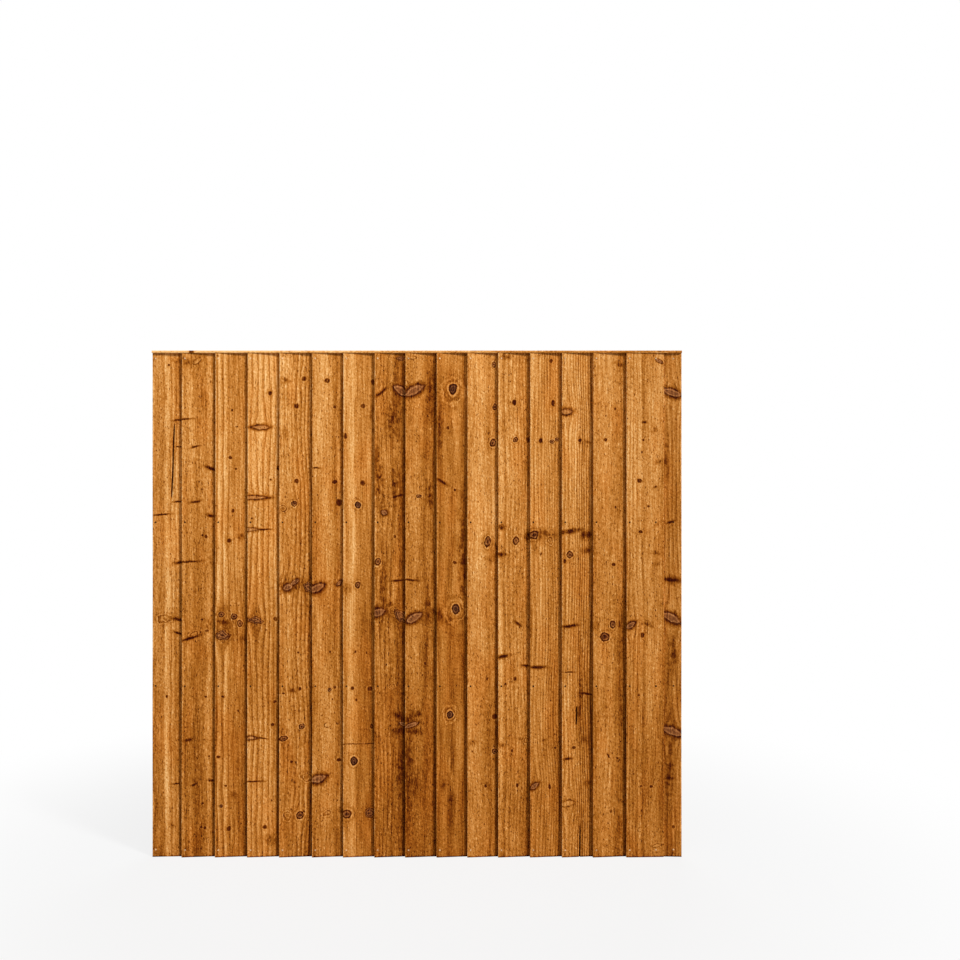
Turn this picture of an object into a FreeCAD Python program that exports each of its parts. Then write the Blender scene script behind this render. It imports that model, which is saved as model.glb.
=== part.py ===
"""Closeboard fence panel: lapped feather-edge boards nailed to a softwood frame under a capping strip.

Frame: X runs along the fence, Y from the boarded face to the frame's back, Z up.
The origin is the middle of the panel's foot.
"""
import FreeCAD, Part
import math
import os
import Sketcher

Vector = FreeCAD.Vector
Rotation = FreeCAD.Rotation
Placement = FreeCAD.Placement

# Driving dimensions, in millimetres.
SIZES = {
    "panel_width": 1830,
    "panel_height": 1750,
    "board_count": 16,
    "board_width": 130,
    "board_thick_edge": 11,
    "board_thin_edge": 4,
    "strip_width": 80,
    "strip_lap": 19,
    "frame_depth": 32,
    "stile_width": 38,
    "rail_height": 38,
    "bottom_rail_raise": 6,
    "cap_thickness": 8,
    "cap_overhang": 1,
    "cap_round": 2,
    "nail_shank": 2.7,
    "nail_head": 6,
    "nail_head_thickness": 1,
    "nail_length": 40,
    "nail_inset": 11,
    "tail_nail_inset": 28,
    "strip_nail_inset": 28,
    "brad_shank": 2.7,
    "brad_set": 1,
    "frame_brad_length": 62,
    "frame_brad_spread": 24,
    "cap_brad_length": 38,
}
# How far each board's thick edge strays from even spacing, left to right, in millimetres.
STRAYS = (0, -6, 0, 2, 3, 7, 5, 4, 1, 0, -3, -6, -5, -4, -6, 0)
RAIL_NAMES = ("bottom_rail", "lower_rail", "upper_rail", "top_rail")
CAP_BRAD_COUNT = 6
# A nail's wire shank and its head are drawn as regular prisms.
SHANK_SIDE_COUNT = 6
HEAD_SIDE_COUNT = 8
# Rounds of correction that settle a board's turn on the two surfaces that it bears on.
SEAT_PASSES = 30

doc = FreeCAD.newDocument("closeboard_panel")
sub_parts = []


# Spreadsheet of sizes

def make_sheet():
    sheet = doc.addObject("Spreadsheet::Sheet", "sizes")
    strays = {f"stray_{index + 1:02d}": value for index, value in enumerate(STRAYS)}
    for row, (alias, value) in enumerate({**SIZES, **strays}.items(), start=1):
        sheet.set(f"A{row}", alias)
        sheet.set(f"B{row}", str(value))
        sheet.setAlias(f"B{row}", alias)
    doc.recompute()
    return sheet


sheet = make_sheet()


def size(alias):
    return float(sheet.get(alias))


def bind(thing, **expressions):
    """Ties properties to the sheet: bind(box, Length="sizes.panel_width")."""
    for name, expression in expressions.items():
        thing.setExpression(name, expression)


def finish(thing, label):
    thing.Label = label
    sub_parts.append(thing)
    return thing


BOARD_LENGTH = "sizes.panel_height - sizes.cap_thickness"
RAIL_LENGTH = "sizes.panel_width - 2 * sizes.stile_width"
STRIP_THIN_EDGE = (
    "sizes.board_thick_edge - (sizes.board_thick_edge - sizes.board_thin_edge)"
    " * sizes.strip_width / sizes.board_width"
)

half_width = size("panel_width") / 2
board_length = size("panel_height") - size("cap_thickness")
strip_thin_edge = size("board_thick_edge") - (
    size("board_thick_edge") - size("board_thin_edge")
) * size("strip_width") / size("board_width")
rail_pitch = (board_length - size("bottom_rail_raise") - size("rail_height")) / (len(RAIL_NAMES) - 1)
rail_bottoms = [size("bottom_rail_raise") + index * rail_pitch for index in range(len(RAIL_NAMES))]
nail_heights = [bottom + size("rail_height") / 2 for bottom in rail_bottoms]


# How the boards lie, worked out with the frame's front face at y = 0

class Lay:
    """Where a board's thick front corner stands, and how far the board is turned, in radians."""

    def __init__(self, x, y, turn):
        self.x, self.y, self.turn = x, y, turn

    def front(self, x):
        """The y of the board's front face at x."""
        return self.y + (x - self.x) * math.tan(self.turn)


def lay_board(x, under_thick, under_thin):
    """A board at x whose back bears at its thick edge on one surface and at its thin edge on another."""
    width, thick, thin = size("board_width"), size("board_thick_edge"), size("board_thin_edge")
    turn = 0.0
    for _ in range(SEAT_PASSES):
        thick_y = under_thick(x - thick * math.sin(turn))
        thin_y = under_thin(x + width * math.cos(turn) - thin * math.sin(turn))
        turn = math.asin((thin_y - thick_y + (thick - thin) * math.cos(turn)) / width)
    return Lay(x, thin_y - width * math.sin(turn) - thin * math.cos(turn), turn)


def frame_face(x):
    return 0.0


strip_slope = math.atan2(size("board_thick_edge") - strip_thin_edge, size("strip_width"))


def strip_front(x):
    """The y of the closing strip's front face, which falls back from its thick outer edge."""
    return (half_width - x) * math.tan(strip_slope) - size("board_thick_edge")


def lay_boards():
    strip_reveal = size("strip_width") - size("strip_lap")
    span = size("panel_width") - strip_reveal - size("board_width")
    count = int(size("board_count"))
    first_turn = math.atan2(size("board_thick_edge") - size("board_thin_edge"), size("board_width"))
    first_x = -half_width + size("board_thick_edge") * math.sin(first_turn)
    lays = [lay_board(first_x, frame_face, frame_face)]
    for index in range(1, count):
        stray = size(f"stray_{index % len(STRAYS) + 1:02d}")
        x = -half_width + index * span / (count - 1) + stray
        under_thin = strip_front if index == count - 1 else frame_face
        lays.append(lay_board(x, lays[-1].front, under_thin))
    return lays


lays = lay_boards()
board_zone = max(-lay.y for lay in lays)
frame_front = (board_zone - size("frame_depth")) / 2
frame_middle = frame_front + size("frame_depth") / 2


# Boards

def profile_pad(body, corners, named_lengths, length):
    """A four-cornered profile in the body's XY plane, its named lengths tied to the sheet, padded up Z.

    named_lengths holds (name, first corner, second corner, DistanceX or DistanceY, expression).
    """
    sketch = body.newObject("Sketcher::SketchObject", f"{body.Name}_profile")
    plane = next(f for f in body.Origin.OriginFeatures if f.Role == "XY_Plane")
    sketch.AttachmentSupport = (plane, [""])
    sketch.MapMode = "FlatFace"
    count = len(corners)
    for index in range(count):
        ends = [Vector(*corners[index], 0), Vector(*corners[(index + 1) % count], 0)]
        sketch.addGeometry(Part.LineSegment(*ends), False)
    for index in range(count):
        sketch.addConstraint(Sketcher.Constraint("Coincident", index, 2, (index + 1) % count, 1))
    for name, first, second, kind, expression in named_lengths:
        (ax, ay), (bx, by) = corners[first], corners[second]
        start = bx - ax if kind == "DistanceX" else by - ay
        number = sketch.addConstraint(Sketcher.Constraint(kind, first, 1, second, 1, start))
        sketch.renameConstraint(number, name)
        sketch.setExpression(f"Constraints.{name}", expression)
    pad = body.newObject("PartDesign::Pad", f"{body.Name}_pad")
    pad.Profile = sketch
    pad.setExpression("Length", length)
    body.Tip = pad
    sketch.Visibility = False
    return sketch


def pin_corner(sketch, line, horizontal, verticals):
    """Holds a profile's corner at the origin and keeps its straight sides square."""
    sketch.addConstraint(Sketcher.Constraint("Coincident", line, 1, -1, 1))
    sketch.addConstraint(Sketcher.Constraint("Horizontal", horizontal))
    for vertical in verticals:
        sketch.addConstraint(Sketcher.Constraint("Vertical", vertical))


def make_board_blank(name):
    """A feather-edge board: its front runs along X from the thick edge, its back tapers to the thin edge."""
    width, thick, thin = size("board_width"), size("board_thick_edge"), size("board_thin_edge")
    body = doc.addObject("PartDesign::Body", f"{name}_blank")
    corners = [(0, 0), (width, 0), (width, thin), (0, thick)]
    lengths = [
        ("board_width", 0, 1, "DistanceX", "sizes.board_width"),
        ("thin_edge", 1, 2, "DistanceY", "sizes.board_thin_edge"),
        ("thick_edge", 0, 3, "DistanceY", "sizes.board_thick_edge"),
    ]
    pin_corner(profile_pad(body, corners, lengths, BOARD_LENGTH), 0, 0, (1, 3))
    return body


def make_strip_blank():
    """The ripped closing strip: its flat back along X, its thick edge outermost at the panel's end."""
    width, thick = size("strip_width"), size("board_thick_edge")
    body = doc.addObject("PartDesign::Body", "closing_strip_blank")
    corners = [(0, 0), (-width, 0), (-width, -strip_thin_edge), (0, -thick)]
    lengths = [
        ("strip_width", 1, 0, "DistanceX", "sizes.strip_width"),
        ("inner_edge", 2, 1, "DistanceY", STRIP_THIN_EDGE),
        ("outer_edge", 3, 0, "DistanceY", "sizes.board_thick_edge"),
    ]
    pin_corner(profile_pad(body, corners, lengths, BOARD_LENGTH), 0, 0, (1, 3))
    body.Placement = Placement(Vector(half_width, frame_front, 0), Rotation())
    return body


# Nails and brads

def make_prism(name, side_count, across, height, placement):
    """A regular prism along +Z of its own placement; across is the circle round its corners."""
    prism = doc.addObject("Part::Prism", name)
    prism.Polygon = side_count
    bind(prism, Circumradius=f"{across} / 2", Height=height)
    prism.Placement = placement
    return prism


INTO_THE_FACE = Rotation(Vector(1, 0, 0), -90)


def make_nail(name, face_placement, inset, height):
    """A headed nail square to a board's face, inset along the face and at a height."""
    at_head = face_placement.multiply(
        Placement(Vector(inset, -size("nail_head_thickness"), height), INTO_THE_FACE)
    )
    at_face = face_placement.multiply(Placement(Vector(inset, 0, height), INTO_THE_FACE))
    nail = doc.addObject("Part::Fuse", name)
    nail.Base = make_prism(
        f"{name}_head", HEAD_SIDE_COUNT, "sizes.nail_head", "sizes.nail_head_thickness", at_head
    )
    nail.Tool = make_prism(
        f"{name}_shank", SHANK_SIDE_COUNT, "sizes.nail_shank", "sizes.nail_length", at_face
    )
    return nail


def make_nail_column(name, face_placement, inset):
    """One nail at each rail."""
    return [
        make_nail(f"{name}_{rail}_nail", face_placement, inset, height)
        for rail, height in zip(RAIL_NAMES, nail_heights)
    ]


def make_brad(name, spot, rotation, length):
    """A headless nail from its punched-in end."""
    return make_prism(name, SHANK_SIDE_COUNT, "sizes.brad_shank", length, Placement(spot, rotation))


def make_frame_brads():
    """A pair of brads through each stile into each rail's end, punched below the stile's face."""
    brads = []
    for side in (-1, 1):
        inward = Rotation(Vector(0, 1, 0), -90 * side)
        start = side * (half_width - size("brad_set"))
        for height in nail_heights:
            for step in (-0.5, 0.5):
                spot = Vector(start, frame_middle, height + step * size("frame_brad_spread"))
                brads.append(make_brad("frame_brad", spot, inward, "sizes.frame_brad_length"))
    return brads


def make_cap_brads():
    """Brads down through the capping into the top rail, midway between columns of board nails."""
    brads = []
    down = Rotation(Vector(1, 0, 0), 180)
    half_cover = (lays[-1].x - lays[0].x) / (len(lays) - 1) / 2
    top = size("panel_height") - size("brad_set")
    boards_apart = (len(lays) - 1) / (CAP_BRAD_COUNT - 1)
    for lay in [lays[round(step * boards_apart)] for step in range(CAP_BRAD_COUNT)]:
        spot = Vector(lay.x + half_cover, frame_front + size("frame_depth") / 4, top)
        brads.append(make_brad("cap_brad", spot, down, "sizes.cap_brad_length"))
    return brads


def group(things, name):
    compound = doc.addObject("Part::Compound", name)
    compound.Links = things
    return compound


def drilled(blank, fasteners, label):
    """The blank with a hole for every fastener that passes through it."""
    cut = doc.addObject("Part::Cut", f"{label}_drilled")
    cut.Base, cut.Tool = blank, group(fasteners, f"{label}_holes")
    return finish(cut, label)


# Frame and capping

def make_frame_blanks():
    """Full-height stiles with four rails between them."""
    blanks = {}
    for name in ("left_stile", "right_stile", *RAIL_NAMES):
        blanks[name] = doc.addObject("Part::Box", f"{name}_blank")
    for name, x in (("left_stile", -half_width), ("right_stile", half_width - size("stile_width"))):
        bind(blanks[name], Length="sizes.stile_width", Width="sizes.frame_depth", Height=BOARD_LENGTH)
        blanks[name].Placement = Placement(Vector(x, frame_front, 0), Rotation())
    for name, bottom in zip(RAIL_NAMES, rail_bottoms):
        bind(blanks[name], Length=RAIL_LENGTH, Width="sizes.frame_depth", Height="sizes.rail_height")
        spot = Vector(-half_width + size("stile_width"), frame_front, bottom)
        blanks[name].Placement = Placement(spot, Rotation())
    return blanks


def make_cap_blank():
    """A thin strip over boards and frame, its two long top edges rounded."""
    depth = board_zone + size("frame_depth") + 2 * size("cap_overhang")
    strip = doc.addObject("Part::Box", "capping_strip")
    bind(strip, Length="sizes.panel_width", Height="sizes.cap_thickness")
    strip.Width = depth
    strip.Placement = Placement(Vector(-half_width, -depth / 2, board_length), Rotation())
    doc.recompute()
    cap = doc.addObject("Part::Fillet", "capping_rounded")
    cap.Base = strip
    top = size("panel_height")
    long_top_edges = [
        number
        for number, edge in enumerate(strip.Shape.Edges, start=1)
        if edge.Length > depth and all(abs(vertex.Z - top) < 1e-6 for vertex in edge.Vertexes)
    ]
    cap.Edges = [(number, size("cap_round"), size("cap_round")) for number in long_top_edges]
    return cap


# Assembly

boards = []
columns = []
for number, lay in enumerate(lays, start=1):
    name = f"feather_board_{number:02d}"
    turned = Rotation(Vector(0, 0, 1), math.degrees(lay.turn))
    place = Placement(Vector(lay.x, frame_front + lay.y, 0), turned)
    blank = make_board_blank(name)
    blank.Placement = place
    boards.append((name, blank))
    columns.append(make_nail_column(name, place, size("nail_inset")))
tail_inset = size("board_width") - size("tail_nail_inset")
columns[-1] += make_nail_column(f"{boards[-1][0]}_tail", place, tail_inset)

strip_blank = make_strip_blank()
strip_face = Placement(
    Vector(half_width, frame_front - size("board_thick_edge"), 0),
    Rotation(Vector(0, 0, 1), -math.degrees(strip_slope)),
)
strip_column = make_nail_column("closing_strip", strip_face, -size("strip_nail_inset"))

board_nails = [nail for column in columns for nail in column] + strip_column
frame_brads = make_frame_brads()
cap_brads = make_cap_brads()

for number, (name, blank) in enumerate(boards):
    next_column = columns[number + 1] if number + 1 < len(boards) else strip_column
    drilled(blank, columns[number] + next_column, name)
drilled(strip_blank, strip_column + columns[-1], "closing_strip")

for name, blank in make_frame_blanks().items():
    drilled(blank, board_nails + frame_brads + cap_brads, name)
drilled(make_cap_blank(), cap_brads, "capping")

finish(group(board_nails, "board_nail_group"), "board_nails")
finish(group(frame_brads, "frame_brad_group"), "frame_brads")
finish(group(cap_brads, "cap_brad_group"), "capping_brads")
doc.recompute()


# Checks and export

def check_document():
    for thing in doc.Objects:
        if "Invalid" in thing.State or "Error" in thing.State:
            raise RuntimeError(f"{thing.Label} failed to build: {thing.State}")
    for part in sub_parts:
        if part.Shape.isNull() or not part.Shape.isValid() or not part.Shape.Solids:
            raise RuntimeError(f"{part.Label} has no valid solid")


def export_parts():
    os.makedirs("parts", exist_ok=True)
    for part in sub_parts:
        part.Shape.exportStep(f"parts/{part.Label}.step")


check_document()
export_parts()
print(f"{len(sub_parts)} sub-parts, {len(lays)} boards, board zone {board_zone:.2f} mm")
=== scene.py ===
"""Closeboard fence panel: the looks of its lapped boards, rear frame, capping and nails.

Metres in the panel's own frame: X along the fence, Y from the boarded face to the back, Z up.
Timber is described in millimetres: across a face from its first edge, and along its length.
"""
import math

import bpy
import numpy as np
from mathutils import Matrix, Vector


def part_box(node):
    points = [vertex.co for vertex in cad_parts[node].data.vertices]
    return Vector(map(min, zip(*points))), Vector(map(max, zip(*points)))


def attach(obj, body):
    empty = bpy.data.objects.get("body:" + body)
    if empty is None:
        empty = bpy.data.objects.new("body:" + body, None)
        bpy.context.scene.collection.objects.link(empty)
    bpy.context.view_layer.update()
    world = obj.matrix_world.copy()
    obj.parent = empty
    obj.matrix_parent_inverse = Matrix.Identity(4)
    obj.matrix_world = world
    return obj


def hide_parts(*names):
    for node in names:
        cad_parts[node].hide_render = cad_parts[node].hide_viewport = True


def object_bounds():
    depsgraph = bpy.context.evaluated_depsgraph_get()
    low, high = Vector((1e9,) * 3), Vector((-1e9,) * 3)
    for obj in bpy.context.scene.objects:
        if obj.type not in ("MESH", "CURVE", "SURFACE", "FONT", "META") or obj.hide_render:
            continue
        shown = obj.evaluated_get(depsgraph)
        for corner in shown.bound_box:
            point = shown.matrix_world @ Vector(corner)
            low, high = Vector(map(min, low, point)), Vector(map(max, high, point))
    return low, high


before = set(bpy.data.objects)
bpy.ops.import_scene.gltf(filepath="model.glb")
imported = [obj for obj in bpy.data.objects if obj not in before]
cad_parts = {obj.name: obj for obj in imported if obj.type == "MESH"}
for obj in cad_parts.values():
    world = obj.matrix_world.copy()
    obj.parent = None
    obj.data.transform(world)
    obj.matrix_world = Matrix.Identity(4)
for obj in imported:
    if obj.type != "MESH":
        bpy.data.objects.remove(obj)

CAD_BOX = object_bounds()
MM = 0.001

# Dipped softwood from its darkest to its palest: lightness, and the display colour it has there.
TIMBER_SCALE = (
    (0.04, (44, 4, 0)),
    (0.13, (74, 20, 0)),
    (0.25, (110, 53, 4)),
    (0.35, (142, 78, 15)),
    (0.45, (169, 102, 31)),
    (0.54, (191, 122, 50)),
    (0.63, (211, 144, 72)),
    (0.72, (228, 168, 98)),
    (0.84, (249, 200, 136)),
)
# The hard, greyer wood of a branch, on the same scale.
KNOT_SCALE = (
    (0.04, (36, 8, 4)),
    (0.2, (86, 50, 26)),
    (0.38, (140, 87, 54)),
    (0.5, (170, 112, 72)),
    (0.65, (208, 152, 106)),
)
# What patches of redder stain multiply the colour by.
REDDENING = (1.0, 0.89, 0.72, 1.0)


class Board:
    """How a stick looks: lightness and ring strength on either side of a line, knots and splits."""

    # What is added to the lightness at the start and far end, on the boards painted light that is darker at
    # the foot and lighter at the top; and painted shade in a band at the foot.
    ends = (-0.06, 0.05)
    foot_shade = -0.3

    def __init__(self, tones, meet, pitch, rings, pith, lean=0.0, splits=(), **knots):
        self.tones, self.meet = tones, meet
        self.pitch, self.rings, self.pith = pitch, rings, pith
        self.lean, self.splits = lean, splits
        self.knots = [(kind, *(knot + (0,))[:5]) for kind, places in knots.items() for knot in places]


# A board is its lightness left and right of a line, a darker right being partly its own tone and partly
# painted shade towards its lapped side; that line's place across, its ring spacing and the rings' strength
# on either side, its pith's place across and depth, and how far it leans.
# Its knots are listed by kind: place across and along, half the width and height, any tilt in degrees.
# A split is its place across at its foot and top, and where along the board it starts and ends.
BOARDS = [
    Board(
        (0.625, 0.56), 68, 9.0, (0.6, 0.4), (20, 90),
        smudge=[(92, 1716, 16, 8), (67, 105, 9, 6)], burr=[(40, 823, 28, 18, 10)],
        dash=[
            (88, 1511, 13, 2.5, 5), (90, 1418, 9, 1.5), (88, 1228, 12, 2), (30, 1183, 20, 2, 4),
            (95, 1018, 14, 3.5, 8), (90, 772, 14, 3, -20), (86, 820, 16, 4, -12), (82, 252, 12, 2, 4),
        ],
        pin=[(47, 554, 4, 5), (55, 1700, 4, 4)],
        splits=[(65, 74, 1231, 1508)],
    ),
    Board(
        (0.53, 0.51), 40, 10.0, (0.3, 0.3), (60, 120), lean=1.6,
        smudge=[(16, 1708, 14, 12, 35), (92, 800, 14, 20)], scar=[(50, 1714, 18, 8, 30)],
        dash=[
            (10, 1513, 17, 2.5, 6), (45, 1418, 10, 2.5, 15), (97, 1343, 15, 4, -22), (45, 1228, 13, 3, 8),
            (100, 1179, 12, 4, -15), (23, 1021, 26, 2.5, 3), (28, 756, 24, 3.5, 18), (23, 405, 11, 4, 10),
            (42, 250, 8, 3, 20), (100, 264, 8, 3),
        ],
        pin=[
            (81, 1107, 5, 7), (70, 1112, 3, 5), (68, 820, 4, 4), (84, 782, 6, 4), (71, 184, 4, 4),
            (81, 554, 4, 4), (66, 103, 4, 4), (78, 101, 5, 6), (92, 347, 4, 4),
        ],
        burr=[(38, 772, 18, 9, 20)],
    ),
    Board(
        (0.59, 0.50), 46, 12.0, (0.8, 0.25), (-40, 60), lean=2.2,
        pin=[
            (56, 1545, 4, 5), (73, 1487, 3, 3), (49, 1380, 6, 6), (69, 1342, 4, 4), (60, 1196, 5, 7),
            (46, 1093, 8, 8), (25, 554, 5, 4), (11, 347, 7, 5), (36, 246, 4, 4), (46, 98, 8, 8),
            (78, 505, 3, 4),
        ],
        smudge=[(87, 1107, 9, 10, 20), (24, 812, 34, 46), (62, 214, 9, 9), (96, 750, 10, 14)],
        eye=[(20, 838, 10, 9), (63, 830, 10, 10), (83, 808, 9, 11), (22, 177, 6, 6)],
        wing=[(26, 766, 27, 17)],
    ),
    Board(
        (0.595, 0.56), 84, 13.0, (0.62, 0.5), (-60, 60), lean=2.0,
        pin=[
            (75, 1604, 7, 8), (105, 1345, 7, 8), (78, 1304, 4, 4), (94, 822, 6, 7), (93, 537, 6, 6),
            (85, 457, 6, 6), (59, 103, 8, 7), (83, 195, 3, 4), (14, 1170, 4, 4),
        ],
        spike=[(42, 1485, 33, 9), (8, 1242, 68, 7), (4, 1132, 38, 6), (2, 412, 36, 7)],
        dash=[(54, 1132, 17, 2), (50, 410, 13, 1.5, -5), (22, 262, 22, 2)], wing=[(28, 818, 30, 12, -10)],
        smudge=[(8, 816, 10, 12), (80, 60, 16, 14)],
    ),
    Board(
        (0.57, 0.52), 46, 10.0, (0.25, 0.6), (-30, 50), lean=1.6,
        pin=[
            (82, 1653, 9, 9), (58, 1559, 8, 9), (58, 1300, 8, 8), (65, 706, 5, 4), (41, 329, 6, 5),
            (14, 566, 6, 3), (70, 580, 5, 7),
        ],
        smudge=[(20, 1463, 8, 14), (40, 940, 44, 22), (48, 578, 18, 7), (22, 1646, 12, 8)],
        eye=[(50, 1221, 9, 10), (77, 450, 10, 8), (14, 410, 14, 9, 10), (70, 144, 13, 12, -20)],
        burr=[(12, 1205, 14, 14), (27, 143, 16, 18), (92, 274, 26, 16, -12)],
        leaf=[(52, 951, 17, 8, 30), (28, 932, 18, 13, 20)], wing=[(100, 930, 24, 15, -35)],
    ),
    Board(
        (0.56, 0.51), 70, 9.0, (0.45, 0.4), (40, 110), lean=1.4,
        pin=[
            (51, 1646, 9, 8), (76, 1556, 6, 5), (76, 1297, 8, 7), (90, 1224, 10, 12), (62, 709, 4, 5),
            (78, 586, 5, 5), (90, 334, 8, 6), (85, 460, 3, 4), (70, 545, 3, 3),
        ],
        leaf=[(15, 929, 31, 14, 27), (92, 946, 13, 7, 45), (19, 271, 31, 14, 14)], eye=[(58, 578, 6, 6)],
        scar=[(52, 456, 14, 9, 10)], burr=[(50, 150, 16, 12, 30)], smudge=[(104, 150, 14, 14)],
        dash=[(12, 1344, 9, 2)],
    ),
    Board(
        (0.63, 0.57), 50, 10.0, (0.35, 0.35), (70, 160), lean=1.2,
        pin=[
            (66, 1559, 8, 8), (6, 1456, 6, 10), (66, 1293, 9, 9), (102, 1642, 8, 10), (32, 584, 6, 6),
            (92, 581, 10, 8), (42, 709, 4, 5), (80, 706, 3, 5), (45, 543, 4, 5), (97, 450, 6, 8),
        ],
        dead=[(50, 1217, 11, 12), (36, 333, 12, 15)], eye=[(50, 941, 9, 11), (11, 149, 16, 14)],
        burr=[(10, 149, 26, 24)], wing=[(92, 150, 19, 17)], smudge=[(11, 930, 12, 16), (100, 1500, 8, 60)],
        dash=[(50, 391, 54, 1)],
    ),
    Board(
        (0.49, 0.47), 60, 9.0, (0.4, 0.4), (90, 70), lean=1.0,
        wing=[(90, 1724, 20, 8), (92, 832, 34, 17, -42)],
        leaf=[(90, 1611, 33, 14, -36), (32, 1190, 13, 9, -25), (12, 846, 26, 15, 17), (97, 458, 17, 7, -24)],
        dash=[(22, 1606, 17, 3.5, 38), (81, 955, 22, 2.5, 4), (81, 1248, 16, 3, 14)],
        eye=[(10, 1020, 10, 12)],
        blot=[(91, 484, 23, 14, -20), (99, 474, 14, 9), (92, 434, 24, 11, -10), (54, 872, 8, 9)],
        burr=[(60, 590, 12, 10), (60, 850, 13, 14)], pin=[(68, 1107, 5, 6), (40, 665, 3, 4)],
        smudge=[
            (14, 1320, 14, 120, 4), (60, 1500, 20, 60), (60, 840, 34, 20, -30), (90, 300, 16, 120),
            (30, 930, 10, 100), (70, 1290, 16, 60),
        ],
    ),
    Board(
        (0.48, 0.46), 40, 11.0, (0.35, 0.3), (30, 120), lean=1.0,
        leaf=[(30, 1613, 40, 15, 28), (28, 826, 33, 14, 30), (22, 457, 26, 8, 20)], eye=[(46, 1247, 9, 6)],
        dash=[(14, 958, 20, 2.5, -4)],
        blot=[
            (23, 485, 26, 14, 30), (9, 474, 13, 9), (26, 434, 31, 10, -6), (76, 876, 7, 8),
            (99, 846, 11, 13),
        ],
        scar=[(24, 1725, 14, 5)], pin=[(68, 668, 4, 6), (60, 628, 3, 4)],
        smudge=[
            (14, 300, 16, 150), (30, 250, 22, 50), (90, 1600, 14, 90), (80, 830, 24, 16, 20),
            (88, 1250, 12, 40),
        ],
    ),
    Board(
        (0.48, 0.48), 60, 12.0, (0.4, 0.4), (50, 60), lean=0.8,
        burr=[(54, 1612, 40, 46), (62, 848, 38, 40), (45, 494, 26, 32)],
        dead=[(56, 1617, 14, 19), (64, 857, 13, 16), (45, 492, 11, 13)],
        pin=[(62, 1268, 4, 5), (61, 1017, 7, 6), (37, 1483, 5, 7), (68, 592, 3, 3)],
        dash=[(20, 1296, 16, 3.5, -34)], blot=[(8, 840, 10, 18), (95, 824, 11, 10)],
        smudge=[
            (60, 812, 40, 10), (24, 250, 8, 14), (50, 198, 12, 22), (92, 1000, 16, 260), (12, 1480, 10, 120),
        ],
        pale=[(48, 300, 5, 60, 4), (58, 1500, 5, 70)],
    ),
    Board(
        (0.56, 0.56), 60, 9.0, (0.25, 0.25), (30, 200), lean=0.3,
        eye=[(91, 1703, 7, 9), (94, 1557, 8, 10), (88, 1431, 10, 13), (69, 1089, 10, 17), (94, 365, 9, 9)],
        smudge=[(15, 398, 10, 9), (64, 246, 9, 9), (100, 1060, 14, 26), (90, 1030, 18, 12)],
        pin=[(94, 485, 9, 10), (69, 616, 4, 6), (62, 245, 5, 5)],
    ),
    Board(
        (0.58, 0.54), 26, 10.0, (0.6, 0.35), (-20, 80), lean=0.3,
        smudge=[(24, 1730, 18, 8), (84, 406, 12, 5), (10, 388, 9, 8)],
        pin=[
            (55, 1571, 8, 9), (104, 1442, 6, 10), (46, 367, 5, 5), (58, 616, 5, 8), (24, 598, 4, 4),
            (66, 248, 4, 7),
        ],
        eye=[(58, 1442, 8, 9), (61, 1095, 10, 13)],
        blot=[(14, 1140, 11, 8), (12, 1046, 12, 8), (102, 1108, 10, 16)], burr=[(96, 403, 12, 12)],
        dash=[(16, 694, 15, 4, 10), (69, 806, 10, 3.5, -42), (100, 660, 14, 3, -5)],
    ),
    Board(
        (0.55, 0.52), 60, 9.0, (0.5, 0.5), (-40, 60), lean=0.3,
        pin=[
            (73, 1715, 6, 8), (79, 1571, 6, 9), (36, 1439, 7, 7), (68, 243, 4, 9), (37, 1048, 3, 5),
            (87, 377, 4, 4),
        ],
        eye=[(92, 1443, 7, 6), (76, 1436, 8, 7), (12, 1113, 16, 14, 10)],
        smudge=[(44, 1108, 52, 18), (4, 1106, 10, 16), (48, 402, 9, 5), (18, 1060, 8, 20)],
        blot=[(30, 1118, 20, 8, 10)], burr=[(68, 1093, 13, 17)], dash=[(24, 656, 21, 4)],
        leaf=[(14, 246, 21, 9, 34)],
    ),
    Board(
        (0.57, 0.52), 52, 9.0, (0.5, 0.8), (-60, 40), lean=0.4,
        spike=[(14, 1538, 24, 11, 6)], pin=[(62, 1440, 6, 6), (8, 1022, 6, 8), (41, 378, 6, 5)],
        smudge=[
            (88, 1436, 12, 6, -20), (72, 405, 10, 10), (89, 253, 14, 8), (88, 1060, 18, 8),
            (62, 560, 5, 150),
        ],
        blot=[(30, 1126, 34, 7, 8), (88, 1114, 18, 12)], eye=[(26, 1046, 10, 12, -25)],
        dash=[(28, 799, 22, 4, 6), (86, 563, 18, 3, -10), (20, 340, 10, 3, 10), (24, 640, 18, 1.5)],
        scar=[(18, 186, 30, 12, 10)],
        splits=[(49, 52, 455, 522), (61, 63, -10, 132)],
    ),
    Board(
        (0.50, 0.455), 70, 12.0, (0.2, 0.25), (40, 180), lean=1.2,
        pin=[
            (43, 1525, 3, 3), (43, 1443, 5, 6), (71, 1011, 7, 6), (52, 350, 3, 9, 25), (85, 340, 4, 4),
            (78, 1210, 3, 4), (61, 157, 4, 6), (76, 1548, 3, 5),
        ],
        eye=[(68, 803, 9, 12), (40, 761, 15, 14)],
        smudge=[(100, 806, 14, 12), (8, 800, 9, 14), (88, 1705, 16, 8, -20)],
    ),
    Board(
        (0.55, 0.51), 50, 8.0, (0.4, 0.4), (90, 90), lean=1.2,
        smudge=[
            (93, 1476, 9, 6, 30), (99, 1276, 11, 4, 20), (112, 1367, 10, 7, 30), (80, 806, 18, 9, -15),
            (100, 1050, 18, 6), (101, 1010, 10, 6, 30), (104, 1150, 10, 5, 30),
        ],
        pin=[
            (45, 1300, 8, 7), (49, 1124, 8, 6), (57, 1442, 4, 5), (53, 768, 6, 9), (51, 246, 5, 5),
            (86, 244, 6, 5), (43, 561, 5, 4), (74, 1212, 4, 4), (52, 1400, 3, 4),
        ],
        leaf=[(14, 802, 20, 10, 34), (112, 1714, 14, 5, -30)], pale=[(108, 801, 22, 7, -20)],
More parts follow.
